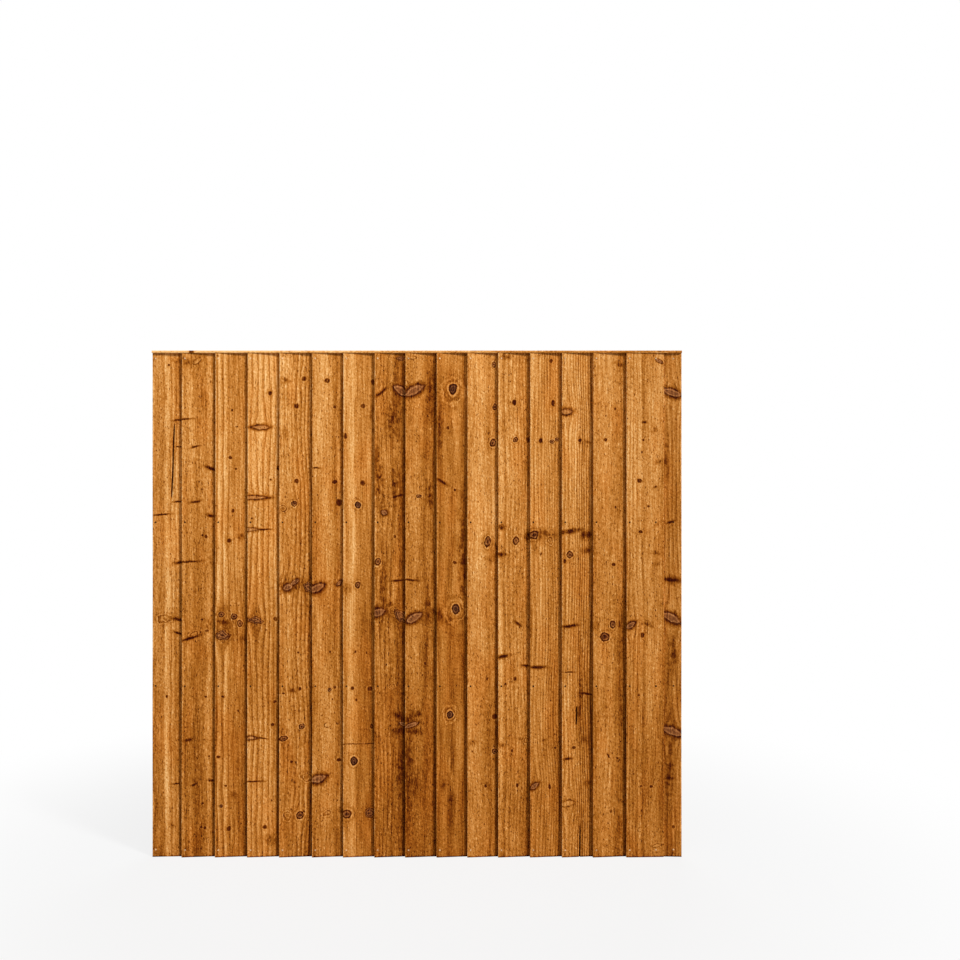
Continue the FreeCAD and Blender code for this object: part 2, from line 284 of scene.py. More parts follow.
        scar=[(106, 40, 20, 6, 12), (46, 96, 9, 6, 40)], dash=[(60, 1502, 5, 3)],
    ),
]
STRIP = Board(
    (0.48, 0.50), 30, 9.0, (0.4, 0.4), (-40, 60),
    leaf=[(46, 1606, 36, 13, -20), (44, 826, 36, 15, -28), (46, 434, 40, 14, -22)],
    pale=[(40, 1574, 22, 14)], dash=[(40, 958, 28, 6, -6), (42, 1158, 11, 3, 20), (36, 271, 11, 4)],
    smudge=[(44, 958, 30, 12, -6), (40, 300, 16, 90), (28, 1380, 8, 60), (52, 700, 12, 60)],
    pin=[(51, 105, 6, 7)],
)

# How knots are painted, in order: the kind, how far the paint hangs below it in half heights, how patchy
# it is, and from its middle out the distance in half sizes, the lightness and the cover.
KNOT_LAYERS = (
    ("smudge", 0, "ragged", ((0, 0.1, 0.9), (0.7, 0.17, 0.7), (1.4, 0.28, 0.3), (2, 0.35, 0))),
    ("blot", 0, "worn", ((0, 0.06, 1), (0.6, 0.1, 0.95), (1, 0.16, 0.8), (1.4, 0.26, 0.45), (2, 0.35, 0))),
    ("pale", 0, "ragged", ((0, 0.78, 0.6), (0.8, 0.75, 0.35), (1.4, 0.7, 0))),
    ("burr", 0, "worn", (
        (0, 0.28, 0.85), (0.2, 0.32, 0.85), (0.42, 0.66, 0.8), (0.6, 0.28, 0.85), (0.76, 0.24, 0.85),
        (0.96, 0.68, 0.75), (1.2, 0.28, 0.55), (1.45, 0.48, 0.3), (1.9, 0.5, 0),
    )),
    ("scar", 0, "broken", (
        (0, 0.68, 0.8), (0.6, 0.62, 0.8), (0.82, 0.3, 0.85), (1, 0.18, 0.85), (1.25, 0.34, 0.45),
        (1.6, 0.42, 0),
    )),
    # This leaf layer hangs below its knot as painted shadow under it.
    ("leaf", 0.4, "specked", ((0, 0.1, 0.5), (1, 0.12, 0.5), (1.3, 0.24, 0.3), (1.6, 0.35, 0))),
    ("wing", 0, "whole", (
        (0, 0.1, 0.95), (0.28, 0.46, 0.95), (0.54, 0.06, 0.95), (0.78, 0.44, 0.95), (1, 0.05, 0.95),
        (1.2, 0.52, 0.6), (1.4, 0.28, 0.4), (1.8, 0.4, 0),
    )),
    # Inside its outline this layer is the knot's own wood; past it, painted shade round the knot.
    ("leaf", 0, "whole", (
        (0, 0.34, 0.92), (0.28, 0.29, 0.92), (0.5, 0.4, 0.92), (0.68, 0.5, 0.92), (0.82, 0.36, 0.9),
        (1.05, 0.22, 0.8), (1.4, 0.24, 0.6), (2.2, 0.36, 0),
    )),
    ("spike", 0, "whole", (
        (0, 0.52, 0.9), (0.4, 0.55, 0.9), (0.7, 0.4, 0.9), (1.05, 0.3, 0.75), (1.5, 0.32, 0.4),
        (2.2, 0.4, 0),
    )),
    ("spike", 0, "broken", (
        (0.6, 0.3, 0), (0.82, 0.12, 0.85), (1.1, 0.12, 0.85), (1.35, 0.26, 0.4), (1.7, 0.3, 0),
    )),
    ("leaf", 0, "broken", (
        (0.7, 0.3, 0), (0.86, 0.1, 0.85), (1.12, 0.1, 0.85), (1.32, 0.24, 0.4), (1.6, 0.3, 0),
    )),
    ("eye", 0, "whole", (
        (0, 0.08, 1), (0.28, 0.14, 1), (0.5, 0.4, 1), (0.68, 0.36, 1), (0.82, 0.07, 1), (1, 0.07, 1),
        (1.14, 0.44, 0.9), (1.28, 0.7, 0.6), (1.45, 0.52, 0.5), (1.7, 0.32, 0.45), (2, 0.56, 0.35),
        (2.5, 0.48, 0),
    )),
    ("dead", 0, "whole", (
        (0, 0.34, 1), (0.14, 0.14, 1), (0.4, 0.1, 1), (0.56, 0.3, 1), (0.74, 0.04, 1), (0.96, 0.05, 1),
        (1.08, 0.5, 0.9), (1.22, 0.76, 0.7), (1.4, 0.5, 0.5), (1.7, 0.3, 0.5), (2, 0.56, 0.35),
        (2.5, 0.48, 0),
    )),
    ("pin", 0, "whole", (
        (0, 0.2, 0.95), (0.3, 0.1, 0.95), (0.7, 0.1, 0.95), (1, 0.28, 0.8), (1.35, 0.62, 0.45),
        (1.7, 0.4, 0.25), (2.2, 0.5, 0),
    )),
    ("dash", 0, "whole", ((0, 0.04, 1), (0.85, 0.08, 1), (1.25, 0.2, 0.7), (1.9, 0.3, 0.4), (2.6, 0.4, 0))),
)
RAMP_REACH = 2.6
STAIN_KINDS = ("smudge", "blot", "pale")
LENS_KINDS = ("leaf", "spike", "scar", "wing")
RAISED_KINDS = (*LENS_KINDS, "eye", "dead")
FLAT_KINDS = (*STAIN_KINDS, "dash", "burr")
# How patchy paint is: the noise that wears it, where wear starts and ends, the cover before and after.
WEAR = {
    "whole": ("patch", 0.36, 0.6, 1.0, 0.92),
    "worn": ("patch", 0.36, 0.6, 1.0, 0.6),
    "ragged": ("patch", 0.36, 0.6, 1.0, 0.35),
    "broken": ("patch", 0.42, 0.62, 1.0, 0.4),
    "specked": ("speckle", 0.44, 0.56, 0.0, 1.0),
}
# How much of a knot's heart is branch wood, and between which distances that ends.
HEART_SHARE = {
    "leaf": (0.6, 0.8, 1.0), "spike": (0.3, 0.8, 1.0), "wing": (0.5, 0.7, 0.95),
    "eye": (0.4, 0.6, 0.85), "dead": (0.8, 0.7, 0.95),
}
# How far uneven growth shifts what is painted, by kind.
RUFFLE = {
    "blot": 1.6, "leaf": 0.7, "spike": 0.6, "wing": 1.4, "burr": 1.2, "scar": 0.8,
    "eye": 1, "dead": 0.7, "pin": 0.8, "dash": 0.6,
}


# Timber meshes

ARRIS = 0.8
COLUMN_PITCH, BACK_PITCH = 3.4, 14.0
THIN_EDGE_PITCH, THICK_EDGE_PITCH = 2.0, 3.0
ROW_PITCH = 7.0
SPLIT_COLUMNS = (-4.0, -2.4, -1.3, 0.0, 1.3, 2.4, 4.0)
SPLIT_CLEARANCE = 5.5
SPLIT_WIDTH = 1.9
SPLIT_DEPTH = 5.0
SPLIT_WANDER, SPLIT_WAVE = 0.5, 23.0
# How fast a split opens from its ends, and one that starts at the foot from its top.
SPLIT_OPENING, FOOT_SPLIT_OPENING = 2.5, 1.6
KNOT_CROWN = 0.8
# The surface stays true over this much of each edge, where the next board or the frame bears on it.
LAP_CLEAR, LAP_FADE, EDGE_FADE = 22, 12, 6
# Wave lengths along and across; a wave too long to show leaves a surface level that way.
LEVEL = 1e6
FACE_WAVES = (420, 70)
RING_WAVES = (300, 90)
NIBBLE_WAVES, BOW_WAVES, SWAY_WAVES = (110, LEVEL), (1500, LEVEL), (900, LEVEL)
FACE_RELIEF, NIBBLE, BOW, PITH_SWAY, RING_WOBBLE = 0.25, 0.9, 0.6, 5, 0.6
# The grain bends round a knot by its size, in a bend drawn out along the board.
BEND_SIZE, BEND_STRETCH, BEND_SOFTNESS, SWIRL_REACH = 0.9, 2.2, 0.4, 2.6
# Years of wide and narrow rings: how far they shift a ring, and over how many rings they come round.
YEARS_SHIFT, YEARS_TURN = 0.4, 1.9
# A stick's seed gives its noises; its mesh takes one this many times as large.
SEED_STRIDE = 100
SHARP_ANGLE = math.radians(50)
ALONG_Z = (0, 1, 2)
ALONG_X = (1, 2, 0)


def ripple(seed, along, across, wave_along, wave_across, terms=5):
    """A smooth uneven surface of about unit height, the same for the same seed."""
    rng = np.random.default_rng(seed)
    total = np.zeros(np.broadcast(along, across).shape)
    for _ in range(terms):
        pace = rng.uniform(0.6, 1.7, 2)
        phase = rng.uniform(0, 2 * math.pi, 2)
        total += np.sin(2 * math.pi * along * pace[0] / wave_along + phase[0]) * np.sin(
            2 * math.pi * across * pace[1] / wave_across + phase[1]
        )
    return total / math.sqrt(terms)


def knot_distance(knot, across, along):
    """Distance from a knot's middle, in its own half sizes."""
    _, at_across, at_along, half_width, half_height, tilt = knot
    turn = math.radians(tilt)
    a, b = across - at_across, along - at_along
    return np.hypot(
        (a * math.cos(turn) + b * math.sin(turn)) / half_width,
        (b * math.cos(turn) - a * math.sin(turn)) / half_height,
    )


def grain_field(board, seed, across, depth, along):
    """How many rings lie between the pith and a point, and how near it is to a knot that bends the grain."""
    bent, swirl = across.copy(), np.zeros(across.shape)
    for kind, at_across, at_along, half_width, half_height, _ in board.knots:
        if kind in FLAT_KINDS:
            continue
        radius = BEND_SIZE * min(half_width, 2 * half_height)
        a, b = across - at_across, (along - at_along) / BEND_STRETCH
        bent -= a * radius**2 / (a**2 + b**2 + BEND_SOFTNESS * radius**2)
        swirl += np.exp(-(a**2 + b**2) / (SWIRL_REACH * radius) ** 2)
    sway = PITH_SWAY * ripple(seed, along, 0 * along, *SWAY_WAVES)
    radius = np.hypot(bent - board.pith[0] - sway, board.pith[1] + depth)
    radius += RING_WOBBLE * ripple(seed + 1, along, across, *RING_WAVES)
    years = YEARS_SHIFT * board.pitch * np.sin(radius / (YEARS_TURN * board.pitch) + seed)
    return (radius + years) / board.pitch, np.clip(swirl, 0, 1)


class Section:
    """The outline of a stick of timber, going round its four sides, with small rounded arrises."""

    # How much painted highlight a point takes beside an arris, and on it.
    BESIDE_ARRIS, ON_ARRIS = 0.6, 1.0

    def __init__(self, corners, pitches, arris, splits=()):
        corners = np.asarray(corners, float)
        self.girth = 0.0
        places = []
        for side in range(4):
            start, end, beyond = (corners[(side + step) % 4] for step in range(3))
            length = np.linalg.norm(end - start)
            way = (end - start) / length
            next_way = (beyond - end) / np.linalg.norm(beyond - end)
            first, last = arris[side], length - arris[(side + 1) % 4]
            for place, split in self.columns(first, last, pitches[side], splits if side == 0 else ()):
                # Points beside and on an arris take the painted highlight.
                worn = self.BESIDE_ARRIS if place < first + 1e-6 or place > last - 1e-6 else 0.0
                places.append((start + way * place, self.girth + place, side, worn, split))
            rounding = (next_way - way) * arris[(side + 1) % 4] * (1 - math.sqrt(0.5))
            places.append((end + rounding, self.girth + length, side, self.ON_ARRIS, None))
            self.girth += length
        *numbers, self.shift = zip(*places)
        self.points, self.across, self.side, self.edge = (np.array(column) for column in numbers)

    @staticmethod
    def columns(first, last, pitch, splits):
        """Places along one side, with extra columns that follow each split."""
        count = max(1, round((last - first) / pitch))
        places = [(float(p), None) for p in np.linspace(first, last, count + 1)]
        for split in splits:
            middle = (split[0] + split[1]) / 2
            reach = abs(split[1] - split[0]) / 2 + SPLIT_CLEARANCE
            places = [p for p in places if p[1] is not None or abs(p[0] - middle) > reach]
            places += [(middle + offset, split) for offset in SPLIT_COLUMNS]
        return sorted(places, key=lambda p: p[0])


def split_path(split, along):
    """A split's place across at each point along, and how open it is there, from 0 to 1."""
    at_foot, at_top, foot, top = split
    share = np.clip((along - foot) / (top - foot), 0, 1)
    open_share = np.clip(SPLIT_OPENING * np.sin(math.pi * share), 0, 1)
    if foot < 0:
        open_share = np.clip(FOOT_SPLIT_OPENING * (1 - share), 0, 1) * (along < top)
    wander = SPLIT_WANDER * np.sin(along / SPLIT_WAVE)
    return at_foot + (at_top - at_foot) * share + wander, open_share


def open_splits(section, along, across, points, face_way, face_out):
    """Moves the columns that follow each split and sinks them; gives how open each point is."""
    cut = np.zeros(along.shape)
    for column, split in enumerate(section.shift):
        if split is None:
            continue
        middle = (split[0] + split[1]) / 2
        path, open_share = split_path(split, along[:, column])
        offset = section.across[column] - middle
        across[:, column] = path + offset
        cut[:, column] = open_share * math.exp(-((offset / SPLIT_WIDTH) ** 2))
        points[:, column, :] += (path - middle)[:, None] * face_way
        points[:, column, :] -= (SPLIT_DEPTH * cut[:, column])[:, None] * face_out
    return cut


def face_relief(board, seed, across, along, width, relief):
    """How far a sawn face stands out: slow unevenness and the crowns of knots, none where it bears."""
    out = relief * ripple(seed + 2, along, across, *FACE_WAVES)
    for knot in board.knots:
        if knot[0] in RAISED_KINDS:
            out = out + KNOT_CROWN * np.exp(-(knot_distance(knot, across, along) ** 2))
    return out * np.clip((width - LAP_CLEAR - across) / LAP_FADE, 0, 1) * np.clip(across / EDGE_FADE, 0, 1)


def make_timber(name, node, slot, section, span, axes, board, seed, timber, reveal=None, uneven=1):
    """A stick of sawn timber standing for a CAD node: a closed mesh with its grain in its attributes."""
    material = wood(timber, board, seed, reveal)
    seed *= SEED_STRIDE
    start, end = span
    length = end - start
    rows = np.linspace(start, end, max(2, round(length / ROW_PITCH)) + 1)
    along = np.repeat((rows - start)[:, None], len(section.points), axis=1)
    across = np.repeat(section.across[None, :], len(rows), axis=0)
    points = np.repeat(section.points[None, :, :], len(rows), axis=0)
    first, second = section.points[0], section.points[np.where(section.side == 0)[0][-1]]
    width = np.linalg.norm(second - first)
    face_way = (second - first) / width
    face_out = np.array([face_way[1], -face_way[0]])

    cut = open_splits(section, along, across, points, face_way, face_out)
    depth = (points - first) @ -face_out
    on_face = (section.side == 0) & (section.edge < Section.BESIDE_ARRIS)
    out = face_relief(board, seed, across, along, width, uneven * FACE_RELIEF)
    points += np.where(on_face, out, 0)[:, :, None] * face_out
    nibble = NIBBLE * np.clip(ripple(seed + 3, along, 0 * along, *NIBBLE_WAVES) - 1.0, 0, 1)
    inwards = (points.mean((0, 1)) - points) / width
    points += np.where(section.edge == Section.ON_ARRIS, nibble, 0)[:, :, None] * inwards
    bowed = np.sin(math.pi * along / length) * ripple(seed + 4, along, 0 * along, *BOW_WAVES)
    lean = board.lean * (along / length - 0.5) + uneven * BOW * bowed
    points += lean[:, :, None] * face_way

    grain_across = (points - first) @ face_way - lean
    ring, swirl = grain_field(board, seed, grain_across, depth, along)
    mesh = loop_mesh(name, points, rows, axes, section)
    grain = np.stack([grain_across, depth, along], axis=-1) * MM
    mesh.attributes.new("grain", "FLOAT_VECTOR", "POINT").data.foreach_set("vector", grain.ravel())
    edge = np.repeat(section.edge[None, :], len(rows), axis=0)
    for label, values in (("ring", ring), ("swirl", swirl), ("edge", edge), ("cut", cut)):
        mesh.attributes.new(label, "FLOAT", "POINT").data.foreach_set("value", values.ravel())
    mesh.materials.append(material)
    add_piece(name, mesh, slot, node)


def tube_faces(row_count, ring_size):
    """Quads round and along a tube of points, and a face at each end."""
    at = np.arange(row_count * ring_size).reshape(row_count, ring_size)
    ahead = np.roll(at, -1, axis=1)
    quads = np.stack([at[:-1], ahead[:-1], ahead[1:], at[1:]], axis=-1).reshape(-1, 4)
    return quads.tolist() + [at[0, ::-1].tolist(), at[-1].tolist()]


def loop_mesh(name, points, rows, axes, section):
    """The mesh of a stick, with a map of girth by length for baking."""
    ring_size, row_count = len(section.points), len(rows)
    world = np.zeros((row_count, ring_size, 3))
    world[:, :, axes[0]] = points[:, :, 0]
    world[:, :, axes[1]] = points[:, :, 1]
    world[:, :, axes[2]] = rows[:, None]
    mesh = bpy.data.meshes.new(name)
    mesh.from_pydata((world.reshape(-1, 3) * MM).tolist(), [], tube_faces(row_count, ring_size))
    mesh.uv_layers.new(name="OFBake").uv.foreach_set("vector", bake_map(section, rows).ravel())
    smooth(mesh)
    mesh.update()
    return mesh


def smooth(mesh):
    """Smooth shading, with the edges of the piece kept sharp."""
    mesh.polygons.foreach_set("use_smooth", [True] * len(mesh.polygons))
    mesh.set_sharp_from_angle(angle=SHARP_ANGLE)


def bake_map(section, rows):
    """Girth across the image and length up it; the two end faces lie in a strip along the top."""
    strip, end_width = 0.03, 0.45
    ring_size = len(section.points)
    u = np.append(section.across, section.girth) / section.girth
    v = (rows - rows[0]) / (rows[-1] - rows[0]) * (1 - 2 * strip)
    corner = np.zeros((len(rows) - 1, ring_size, 4, 2))
    corner[:, :, (0, 3), 0] = u[None, :-1, None]
    corner[:, :, (1, 2), 0] = u[None, 1:, None]
    corner[:, :, (0, 1), 1] = v[:-1, None, None]
    corner[:, :, (2, 3), 1] = v[1:, None, None]
    flat = section.points - section.points.min(0)
    flat = flat / flat.max(0) * np.array([end_width, strip])
    flat[:, 1] += 1 - strip
    ends = [flat[::-1], flat + np.array([0.5, 0])]
    return np.concatenate([corner.reshape(-1, 2), *ends]).clip(0, 1)


def add_piece(name, mesh, slot, *nodes):
    piece = bpy.data.objects.new(name, mesh)
    bpy.context.scene.collection.objects.link(piece)
    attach(piece, "root")
    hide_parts(*nodes)


# Materials

def linear(colour):
    """A display colour from 0 to 255 as linear light."""
    scaled = [c / 255 for c in colour]
    return [c / 12.92 if c <= 0.04045 else ((c + 0.055) / 1.055) ** 2.4 for c in scaled] + [1.0]


class Shader:
    """Short calls for building the nodes of a material or a world."""

    def __init__(self, owner):
        owner.use_nodes = True
        self.owner = owner
        self.nodes, self.links = owner.node_tree.nodes, owner.node_tree.links
        self.surface = self.nodes.get("Principled BSDF")

    def put(self, node, inputs):
        """Sets or links a node's inputs, given by name or number."""
        for key, value in inputs.items():
            if isinstance(value, bpy.types.NodeSocket):
                self.links.new(value, node.inputs[key])
            else:
                node.inputs[key].default_value = value

    def add(self, kind, inputs, **settings):
        node = self.nodes.new("ShaderNode" + kind)
        for key, value in settings.items():
            setattr(node, key, value)
        self.put(node, inputs)
        return node

    def attribute(self, name, output="Fac"):
        return self.add("Attribute", {}, attribute_name=name).outputs[output]

    def math(self, operation, first, second=0.0, third=0.0):
        return self.add("Math", {0: first, 1: second, 2: third}, operation=operation).outputs[0]

    def vector(self, operation, first, second=(0, 0, 0), output="Vector"):
        return self.add("VectorMath", {0: first, 1: second}, operation=operation).outputs[output]

    def placed(self, vector, location, rotation, scale):
        """The vector as seen from a turned and stretched frame."""
        inputs = {"Vector": vector, "Location": location, "Rotation": rotation, "Scale": scale}
        return self.add("Mapping", inputs, vector_type="TEXTURE").outputs[0]

    def noise(self, vector, stretch, detail=2.0, roughness=0.55, output="Fac"):
        """Noise with stretch features to the metre across, deep and along."""
        stretched = self.vector("MULTIPLY", vector, stretch)
        inputs = {"Vector": stretched, "Scale": 1.0, "Detail": detail, "Roughness": roughness}
        return self.add("TexNoise", inputs).outputs[output]

    def between(self, value, low, high, to_low=0.0, to_high=1.0):
        """A smooth step from low to high."""
        inputs = dict(enumerate((value, low, high, to_low, to_high)))
        return self.add("MapRange", inputs, interpolation_type="SMOOTHSTEP").outputs[0]

    def ramp(self, value, stops):
        """Stops of place, linear colour and cover; gives the colour and the cover."""
        node = self.add("ValToRGB", {0: value})
        elements = node.color_ramp.elements
        while len(elements) < len(stops):
            elements.new(0.5)
        for element, (place, colour, cover) in zip(elements, stops):
            element.position = place
            element.color = colour[:3] + [cover]
        return node.outputs

    def mix(self, share, first, second, blend="MIX"):
        """A colour part of the way from the first to the second."""
        inputs = {"Factor": share, "A": first, "B": second}
        return self.add("Mix", inputs, data_type="RGBA", blend_type=blend).outputs["Result"]

    def blend(self, share, first, second):
        """A number part of the way from the first to the second."""
        return self.math("MULTIPLY_ADD", share, self.math("SUBTRACT", second, first), first)

    def fold(self, operation, values):
        """Numbers joined two by two, or None where there are none."""
        joined = None
        for value in values:
            joined = value if joined is None else self.math(operation, joined, value)
        return joined

    def in_view(self):
        """1 for what is seen directly, in a reflection or through glass, and 0 for light on the object."""
        path = self.add("LightPath", {}).outputs
        rays = ("Is Camera Ray", "Is Glossy Ray", "Is Transmission Ray")
        return self.fold("MAXIMUM", [path[ray] for ray in rays])

    def mix_surface(self, share, first, second, output):
        """Sends a mix of two surfaces to the output of that name."""
        mixed = self.add("MixShader", {0: share, 1: first.outputs[0], 2: second.outputs[0]})
        self.put(self.nodes[output], {"Surface": mixed.outputs[0]})


# Noises of sawn timber: features to the metre across, deep and along, then detail and roughness.
NOISES = {
    "streak": ((150, 150, 6), 3.0, 0.65),
    "fibre": ((310, 310, 12), 2.0, 0.6),
    "speckle": ((270, 270, 130), 2.0, 0.6),
    "fine": ((700, 700, 40), 2.0, 0.6),
    "drift": ((18, 18, 2), 2.0),
    "blush": ((14, 14, 4.5), 2.0),
    "patch": ((75, 75, 50), 1.0),
    "fleck": ((330, 330, 110), 1.0),
    "ruffle": ((62, 62, 46), 2.0),
    "warp": ((38, 38, 38), 1.0, 0.5, "Color"),
    "jag": ((170, 170, 170), 1.0, 0.5, "Color"),
}
SAW_MARKS = ((45, 45, 210), 1.0)
SAW_SKEW = 0.55
# How much each noise varies the lightness, and the pores and the bright flecks, painted glints, that are
# added to it.
FIBRES = (("streak", 0.26), ("fibre", 0.46), ("speckle", 0.38), ("fine", 0.22), ("saw", 0.2))
FLECKS = ((0.63, 0.72, 0.0, -0.34), (0.29, 0.39, 0.14, 0.0))
DRIFT = 0.36
# What each seed moves the noises by, so that no two sticks are alike.
SEED_STEPS = (1.37, 0.71, 2.13)
# The line between two tones is this soft, in millimetres, and wanders this far, in metres.
TONE_BLUR, TONE_WANDER = 8, 0.03
# Over what lengths a board changes from foot to top in painted light, and takes painted shade at its foot,
# in metres.
BOARD_RUN, FOOT_SHADE_RUN = (0.0, 1.7), (0.001, 0.006)
# Painted shade beside each lap, where the next board's thick edge stands over the board: its width in
# millimetres and what it takes off the lightness.
LAP_SHADE_WIDTH, LAP_SHADE = 22, -0.16
# How strong rings are near a knot, and how far streaks shift them.
KNOT_RINGS, RING_FRAY = 0.6, 0.22
# Where in a ring late and early wood set in and end, and what they add to the lightness.
LATE_SPAN, EARLY_SPAN = ((0.45, 0.86), (0.9, 1.0)), ((0.0, 0.12), (0.2, 0.5))
LATE_WOOD, EARLY_WOOD = -0.23, 0.09
# What moves the outlines of stains and knots, and how many millimetres at most.
STAIN_SHIFTS, KNOT_SHIFTS = (("warp", 13), ("jag", 8)), (("warp", 6), ("jag", 2.5))
CROWN_SPAN = (0.66, 1.0)
# Painted shade inside open splits: the openness over which it sets in, and the lightness it takes.
OPEN_SPAN, SPLIT_SHADE = (0.05, 0.4), 0.03
# Smooth steps: how strong the painted highlight on the arrises is, how red patches are, and how rough the
# surface is.
ARRIS_HIGHLIGHT, REDDER, ROUGH = (0.35, 0.6, 0.02, 0.16), (0.45, 0.7, 0.0, 0.8), (0.2, 0.8, 0.84, 0.7)
SPECULAR = 0.05
# How high pores, saw marks, late wood and knots stand in the bump.
BUMPS = (("speckle", 0.6), ("fine", 0.4), ("saw", 0.5))
LATE_BUMP, KNOT_BUMP, BUMP_STRENGTH = -0.4, 1.6, 0.7
# A lens is what two ovals share that are this many half heights tall and stand this many off its middle.
LENS_HEIGHT, LENS_OFFSET = 2, 1.5
# Knots go right through a stick, so their half size in depth has no bounds.
THROUGH = 1e3


class TimberShader(Shader):
    """Sawn, dipped softwood: ring lines, fibres, flecks, knots and stains, with painted light and shade."""

    def __init__(self, name, board, seed):
        super().__init__(bpy.data.materials.new(name))
        self.board = board
        self.grain = self.attribute("grain", "Vector")
        self.own = self.vector("ADD", self.grain, [seed * step for step in SEED_STEPS])
        self.across, _, self.along = self.add("SeparateXYZ", {0: self.grain}).outputs
        across, _, along = self.add("SeparateXYZ", {0: self.own}).outputs
        skewed = self.math("MULTIPLY_ADD", across, SAW_SKEW, along)
        saw_place = self.add("CombineXYZ", {"X": across, "Z": skewed}).outputs[0]
        self.noises = {label: self.noise(self.own, *given) for label, given in NOISES.items()}
        self.noises["saw"] = self.noise(saw_place, *SAW_MARKS)

    def vary(self, value, label, amount):
        """A number moved up and down by a noise."""
        wander = self.math("SUBTRACT", self.noises[label], 0.5)
        return self.math("MULTIPLY_ADD", wander, amount, value)

    def step_on(self, light, *step):
        """The lightness with a smooth step added."""
        return self.math("ADD", light, self.between(*step))

    def ringed(self, reveal):
        """Lightness from broad tone, painted light from foot to top, painted shade at the foot and beside
        the lap, and growth rings; also the dark of each ring.
        """
        board = self.board
        side = self.vary(self.across, "drift", TONE_WANDER)
        meet = ((board.meet - TONE_BLUR) * MM, (board.meet + TONE_BLUR) * MM)
        # Broad tone either side of the line; a darker right is partly painted shade towards the lap.
        light = self.vary(self.between(side, *meet, *board.tones), "drift", DRIFT)
        # Painted light, darker at the foot and lighter at the top, then painted shade in a narrow band at
        # the foot.
        light = self.step_on(light, self.along, *BOARD_RUN, *board.ends)
        light = self.step_on(light, self.along, *FOOT_SHADE_RUN, board.foot_shade, 0.0)
        # Painted shade beside the lap, where the next board's thick edge stands over this one.
        if reveal:
            light = self.step_on(light, self.across, (reveal - LAP_SHADE_WIDTH) * MM, reveal * MM, 0.0, LAP_SHADE)
        near_knot = self.math("MULTIPLY", self.attribute("swirl"), KNOT_RINGS)
        strength = self.math("MAXIMUM", self.between(side, *meet, *board.rings), near_knot)
        frayed = self.math("MULTIPLY_ADD", self.noises["streak"], RING_FRAY, self.attribute("ring"))
        ring = self.math("FRACT", frayed)
        late, early = (
            self.fold("MULTIPLY", [self.between(ring, *rise), self.between(ring, *fall, 1.0, 0.0), strength])
            for rise, fall in (LATE_SPAN, EARLY_SPAN)
        )
        light = self.math("MULTIPLY_ADD", late, LATE_WOOD, light)
        return self.math("MULTIPLY_ADD", early, EARLY_WOOD, light), late

    def moved(self, shifts):
        """The place in the timber, moved by noises, each so many millimetres at most."""
        place = self.grain
        for label, reach in shifts:
            shift = self.vector("SUBTRACT", self.noises[label], (0.5,) * 3)
            place = self.vector("ADD", place, self.vector("MULTIPLY", shift, (reach * MM,) * 3))
        return place

    def distance_from(self, spot, knot, drop):
        """Distance from a knot in its half sizes; the paint hangs drop half heights below it."""
        kind, at_across, at_along, half_width, half_height, tilt = knot
        turn = math.radians(tilt)
        at_along -= drop * half_height
        lens = kind in LENS_KINDS
        size = (half_width * MM, THROUGH, (LENS_HEIGHT if lens else 1) * half_height * MM)
        ovals = []
        for way in (-LENS_OFFSET, LENS_OFFSET) if lens else (0,):
            middle_across = at_across - way * half_height * math.sin(turn)
            middle_along = at_along + way * half_height * math.cos(turn)
            middle = (middle_across * MM, 0, middle_along * MM)
            seen = self.placed(spot, middle, (0, -turn, 0), size)
            ovals.append(self.vector("LENGTH", seen, output="Value"))
        if lens:
            return self.math("MULTIPLY_ADD", self.math("MAXIMUM", *ovals), LENS_HEIGHT, -LENS_OFFSET)
        return ovals[0]

    def knotted(self, light):
        """Lightness with knots and stains; also the share of branch wood, and what stands out."""
        loose, firm = self.moved(STAIN_SHIFTS), self.moved(KNOT_SHIFTS)
        patchy = {wear: self.between(self.noises[label], *given) for wear, (label, *given) in WEAR.items()}
        distances = {}
        for kind, drop, wear, stops in KNOT_LAYERS:
            spot = loose if kind in STAIN_KINDS else firm
            knots = [knot for knot in self.board.knots if knot[0] == kind]
            if not knots:
                continue
            if (kind, drop) not in distances:
                nearest = self.fold("MINIMUM", [self.distance_from(spot, knot, drop) for knot in knots])
                distances[kind, drop] = self.vary(nearest, "ruffle", RUFFLE.get(kind, 0.0))
            reach = self.math("DIVIDE", distances[kind, drop], RAMP_REACH)
            shade, cover = self.ramp(reach, [(q / RAMP_REACH, [v] * 3, a) for q, v, a in stops])
            light = self.blend(self.math("MULTIPLY", cover, patchy[wear]), light, shade)
        whole = {kind: distance for (kind, drop), distance in distances.items() if drop == 0}
        heart = self.fold("MAXIMUM", [
            self.between(whole[kind], inner, outer, share, 0.0)
            for kind, (share, inner, outer) in HEART_SHARE.items() if kind in whole
        ])
        raised = self.fold("MAXIMUM", [
            self.between(whole[kind], *CROWN_SPAN, 1.0, 0.0) for kind in RAISED_KINDS if kind in whole
        ])
        return light, heart, raised

    def fibred(self, light):
        """Lightness with painted shade in open splits, fibres, saw marks, pores, bright flecks painted as
        glints, and painted highlights on the arrises.
        """
        # Painted shade inside open splits.
        opened = self.between(self.attribute("cut"), *OPEN_SPAN)
        light = self.blend(opened, light, SPLIT_SHADE)
        for label, amount in FIBRES:
            light = self.vary(light, label, amount)
        # Dark pores, and bright flecks that are painted glints.
        for step in FLECKS:
            light = self.step_on(light, self.noises["fleck"], *step)
        # Painted highlight along the arrises.
        arris_highlight = self.between(self.noises["speckle"], *ARRIS_HIGHLIGHT)
        return self.math("MULTIPLY_ADD", self.attribute("edge"), arris_highlight, light)

